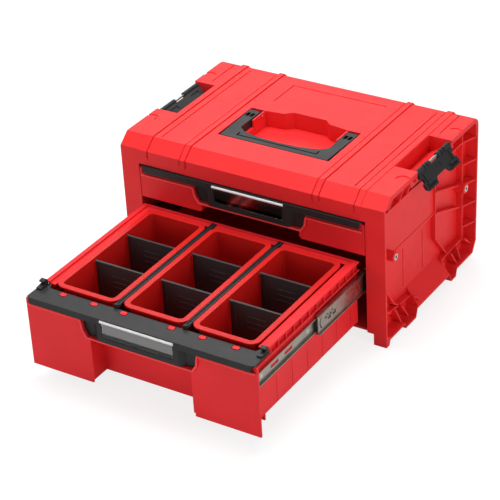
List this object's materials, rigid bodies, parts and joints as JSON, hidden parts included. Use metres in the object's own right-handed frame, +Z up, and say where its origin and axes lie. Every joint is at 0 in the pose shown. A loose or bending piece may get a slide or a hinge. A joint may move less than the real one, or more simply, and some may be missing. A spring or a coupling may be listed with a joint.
{
  "type": "portable tool box with drawers",
  "caption": "Portable plastic tool box with two drawers on ball slides, lift-out parts bins, fold-flat carry handle, ribbed side frames and side latches.",
  "frame": {"origin": "on the floor, in the middle of the bounding box's base as the box stands, with the lower drawer open and the right latch hanging out; the cabinet's front plane lies at y = 0", "axes": "+X to the right seen from the front, +Y from the front to the back, +Z up"},
  "size_m": [0.4686, 0.5934, 0.2439],
  "materials": {
    "shell_plastic": "moulded, satin",
    "drawer_plastic": "moulded, satin",
    "bin_plastic": "moulded, satin",
    "black_plastic": "fine grain",
    "divider_plastic": "fine grain",
    "zinc_steel": "zinc plated",
    "pin_steel": "turned",
    "card": "printed card",
    "clear_plastic": "clear"
  },
  "bodies": {
    "cabinet": {"top_cover": "shell_plastic", "left_side_frame": "shell_plastic", "right_side_frame": "shell_plastic", "back_panel": "shell_plastic", "base_plate": "shell_plastic", "handle_pins": "pin_steel", "latch_pins": "pin_steel", "side_bushes": "pin_steel", "lower_left_cabinet_rail": "zinc_steel", "lower_right_cabinet_rail": "zinc_steel", "upper_left_cabinet_rail": "zinc_steel", "upper_right_cabinet_rail": "zinc_steel", "cabinet_rail_screws": "pin_steel"},
    "carry_handle": {"carry_handle": "black_plastic"},
    "left_latch": {"left_latch": "black_plastic"},
    "right_latch": {"right_latch": "black_plastic"},
    "lower_drawer": {"lower_drawer_tub": "drawer_plastic", "lower_drawer_trim": "black_plastic", "lower_label_card": "card", "lower_label_window": "clear_plastic", "lower_trim_clips": "black_plastic", "left_bin_strip": "black_plastic", "right_bin_strip": "black_plastic", "lower_left_drawer_rail": "zinc_steel", "lower_right_drawer_rail": "zinc_steel", "lower_drawer_screws": "pin_steel"},
    "lower_middle_rails": {"lower_left_middle_rail": "zinc_steel", "lower_right_middle_rail": "zinc_steel", "lower_rail_bumpers": "black_plastic"},
    "lower_outer_cages": {"lower_outer_ball_cages": "zinc_steel"},
    "lower_inner_cages": {"lower_inner_ball_cages": "zinc_steel"},
    "upper_drawer": {"upper_drawer_tub": "drawer_plastic", "upper_drawer_trim": "black_plastic", "upper_label_card": "card", "upper_label_window": "clear_plastic", "upper_left_drawer_rail": "zinc_steel", "upper_right_drawer_rail": "zinc_steel", "upper_drawer_screws": "pin_steel"},
    "upper_middle_rails": {"upper_left_middle_rail": "zinc_steel", "upper_right_middle_rail": "zinc_steel", "upper_rail_bumpers": "black_plastic"},
    "upper_outer_cages": {"upper_outer_ball_cages": "zinc_steel"},
    "upper_inner_cages": {"upper_inner_ball_cages": "zinc_steel"},
    "left_bin": {"left_bin": "bin_plastic"},
    "left_front_divider": {"left_front_divider": "divider_plastic"},
    "left_rear_divider": {"left_rear_divider": "divider_plastic"},
    "centre_bin": {"centre_bin": "bin_plastic"},
    "centre_front_divider": {"centre_front_divider": "divider_plastic"},
    "centre_rear_divider": {"centre_rear_divider": "divider_plastic"},
    "right_bin": {"right_bin": "bin_plastic"},
    "right_front_divider": {"right_front_divider": "divider_plastic"},
    "right_rear_divider": {"right_rear_divider": "divider_plastic"}
  },
  "joints": [
    {"name": "lower_drawer_slide", "type": "slide", "parent": "cabinet", "child": "lower_drawer", "axis": [0, -1, 0], "range_m": [-0.292, 0]},
    {"name": "lower_middle_rail_slide", "type": "slide", "parent": "cabinet", "child": "lower_middle_rails", "axis": [0, -1, 0], "range_m": [-0.146, 0]},
    {"name": "lower_outer_cage_slide", "type": "slide", "parent": "cabinet", "child": "lower_outer_cages", "axis": [0, -1, 0], "range_m": [-0.073, 0]},
    {"name": "lower_inner_cage_slide", "type": "slide", "parent": "cabinet", "child": "lower_inner_cages", "axis": [0, -1, 0], "range_m": [-0.219, 0]},
    {"name": "upper_drawer_slide", "type": "slide", "parent": "cabinet", "child": "upper_drawer", "axis": [0, 1, 0], "range_m": [-0.292, 0]},
    {"name": "upper_middle_rail_slide", "type": "slide", "parent": "cabinet", "child": "upper_middle_rails", "axis": [0, 1, 0], "range_m": [-0.146, 0]},
    {"name": "upper_outer_cage_slide", "type": "slide", "parent": "cabinet", "child": "upper_outer_cages", "axis": [0, 1, 0], "range_m": [-0.073, 0]},
    {"name": "upper_inner_cage_slide", "type": "slide", "parent": "cabinet", "child": "upper_inner_cages", "axis": [0, 1, 0], "range_m": [-0.219, 0]},
    {"name": "handle_hinge", "type": "hinge", "parent": "cabinet", "child": "carry_handle", "pos_m": [-0.00928, 0.1595, 0.237], "axis": [-1, 0, 0], "range_deg": [0, 95]},
    {"name": "left_latch_hinge", "type": "hinge", "parent": "cabinet", "child": "left_latch", "pos_m": [-0.22978, 0.153, 0.237], "axis": [0, 1, 0], "range_deg": [-290, 0]},
    {"name": "right_latch_hinge", "type": "hinge", "parent": "cabinet", "child": "right_latch", "pos_m": [0.21122, 0.153, 0.237], "axis": [0, -1, 0], "range_deg": [-33, 257]},
    {"name": "left_bin_lift", "type": "slide", "parent": "lower_drawer", "child": "left_bin", "axis": [0, 0, 1], "range_m": [0, 0.098]},
    {"name": "left_front_divider_lift", "type": "slide", "parent": "left_bin", "child": "left_front_divider", "axis": [0, 0, 1], "range_m": [0, 0.096]},
    {"name": "left_rear_divider_lift", "type": "slide", "parent": "left_bin", "child": "left_rear_divider", "axis": [0, 0, 1], "range_m": [0, 0.096]},
    {"name": "centre_bin_lift", "type": "slide", "parent": "lower_drawer", "child": "centre_bin", "axis": [0, 0, 1], "range_m": [0, 0.098]},
    {"name": "centre_front_divider_lift", "type": "slide", "parent": "centre_bin", "child": "centre_front_divider", "axis": [0, 0, 1], "range_m": [0, 0.096]},
    {"name": "centre_rear_divider_lift", "type": "slide", "parent": "centre_bin", "child": "centre_rear_divider", "axis": [0, 0, 1], "range_m": [0, 0.096]},
    {"name": "right_bin_lift", "type": "slide", "parent": "lower_drawer", "child": "right_bin", "axis": [0, 0, 1], "range_m": [0, 0.098]},
    {"name": "right_front_divider_lift", "type": "slide", "parent": "right_bin", "child": "right_front_divider", "axis": [0, 0, 1], "range_m": [0, 0.096]},
    {"name": "right_rear_divider_lift", "type": "slide", "parent": "right_bin", "child": "right_rear_divider", "axis": [0, 0, 1], "range_m": [0, 0.096]}
  ],
  "couplings": [
    {"joint": "lower_middle_rail_slide", "follows": "lower_drawer_slide", "ratio": 0.5},
    {"joint": "lower_outer_cage_slide", "follows": "lower_drawer_slide", "ratio": 0.25},
    {"joint": "lower_inner_cage_slide", "follows": "lower_drawer_slide", "ratio": 0.75},
    {"joint": "upper_middle_rail_slide", "follows": "upper_drawer_slide", "ratio": 0.5},
    {"joint": "upper_outer_cage_slide", "follows": "upper_drawer_slide", "ratio": 0.25},
    {"joint": "upper_inner_cage_slide", "follows": "upper_drawer_slide", "ratio": 0.75}
  ]
}
